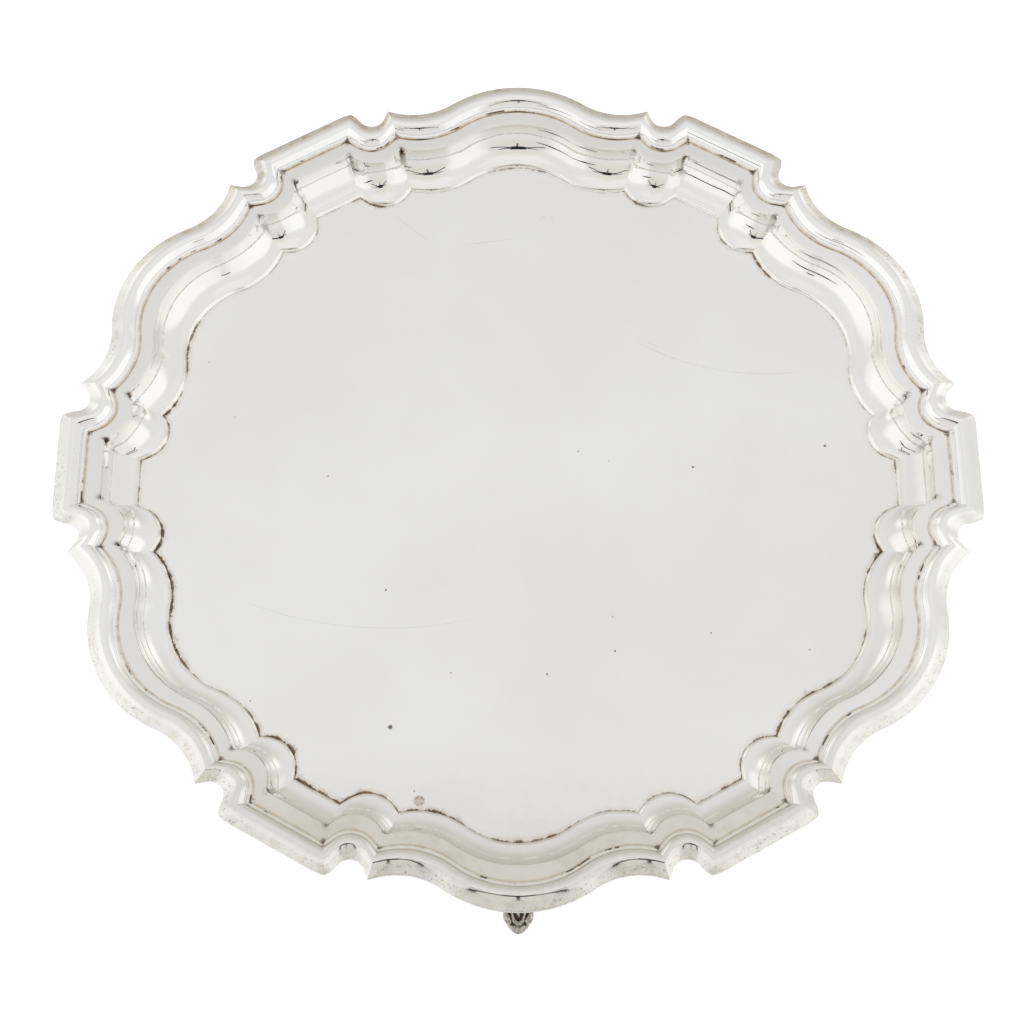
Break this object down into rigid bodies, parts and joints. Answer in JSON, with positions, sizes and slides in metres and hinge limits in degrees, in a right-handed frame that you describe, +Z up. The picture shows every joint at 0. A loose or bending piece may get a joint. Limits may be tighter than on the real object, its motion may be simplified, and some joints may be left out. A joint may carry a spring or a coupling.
{
  "type": "footed salver",
  "caption": "Round flat silver salver inside a stepped, hollow-moulded border of straight bars and curved lobes, standing on three small cast feet.",
  "frame": {"origin": "middle of the plan, on the surface that the feet stand on", "axes": "+Z up through the middle of the field, which faces up; the front foot stands toward -Y; +X and -X run to the middles of two straight bars"},
  "size_m": [0.3048, 0.3058, 0.0309],
  "materials": {
    "raised_sheet": "hand-polished sterling silver with fine wear scratches and light tarnish in the creases",
    "cast_moulding": "polished cast silver, rougher and slightly yellowed on its outer face",
    "cast_foot": "cast silver, dark in its hollows and bright on its ridges"
  },
  "bodies": {
    "root": {"salver_body": "raised_sheet", "border_bar_1": "cast_moulding", "border_lobe_1": "cast_moulding", "border_notch_1_near": "cast_moulding", "border_notch_1_far": "cast_moulding", "border_bar_2": "cast_moulding", "border_lobe_2": "cast_moulding", "border_notch_2_near": "cast_moulding", "border_notch_2_far": "cast_moulding", "border_bar_3": "cast_moulding", "border_lobe_3": "cast_moulding", "border_notch_3_near": "cast_moulding", "border_notch_3_far": "cast_moulding", "border_bar_4": "cast_moulding", "border_lobe_4": "cast_moulding", "border_notch_4_near": "cast_moulding", "border_notch_4_far": "cast_moulding", "border_bar_5": "cast_moulding", "border_lobe_5": "cast_moulding", "border_notch_5_near": "cast_moulding", "border_notch_5_far": "cast_moulding", "border_bar_6": "cast_moulding", "border_lobe_6": "cast_moulding", "border_notch_6_near": "cast_moulding", "border_notch_6_far": "cast_moulding", "foot_front": "cast_foot", "foot_right_rear": "cast_foot", "foot_left_rear": "cast_foot"}
  },
  "joints": []
}
